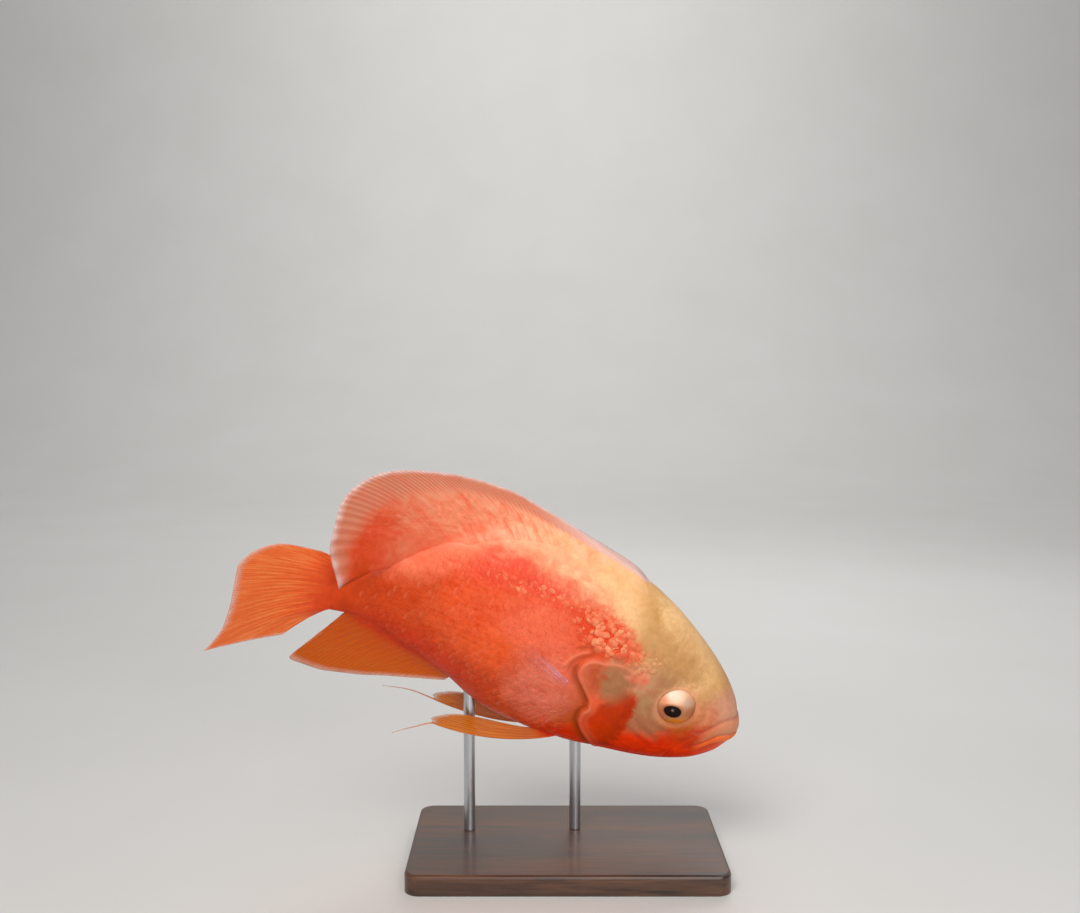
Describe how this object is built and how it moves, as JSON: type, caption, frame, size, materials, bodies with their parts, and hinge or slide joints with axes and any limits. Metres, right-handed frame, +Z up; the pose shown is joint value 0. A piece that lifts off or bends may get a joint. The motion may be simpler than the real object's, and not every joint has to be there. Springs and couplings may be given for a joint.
{
  "type": "fish model",
  "caption": "Life-size still model of a deep-bodied oscar cichlid, nose down with swung tail and folded fins, held over a flat base by two rods.",
  "frame": {"origin": "centre of the flat underside of the stand's base, under the model's middle", "axes": "+X along the base towards the fish's head, +Z up from the base, +Y to the fish's left; the fish's right side faces -Y"},
  "size_m": [0.265, 0.1028, 0.2068],
  "materials": {
    "head_skin": "satin painted skin, tan",
    "jaw_skin": "satin painted skin, orange",
    "gill_cover_skin": "satin painted skin, orange-red",
    "body_skin": "satin painted scales, orange-red",
    "eye": "glossy",
    "pale_fin": "satin, pale pink and cream",
    "orange_fin": "satin, orange",
    "stand_wood": "dark satin varnish",
    "stand_steel": "satin"
  },
  "bodies": {
    "root": {"head": "head_skin", "lower_jaw": "jaw_skin", "gill_cover_left": "gill_cover_skin", "gill_cover_right": "gill_cover_skin", "trunk": "body_skin", "tail_stalk": "body_skin", "eye_left": "eye", "eye_right": "eye", "dorsal_fin": "pale_fin", "anal_fin": "orange_fin", "caudal_fin": "orange_fin", "pectoral_fin_left": "pale_fin", "pectoral_fin_right": "pale_fin", "pelvic_fin_left": "orange_fin", "pelvic_fin_right": "orange_fin", "stand_base": "stand_wood", "stand_rod_front": "stand_steel", "stand_rod_rear": "stand_steel"}
  },
  "joints": []
}
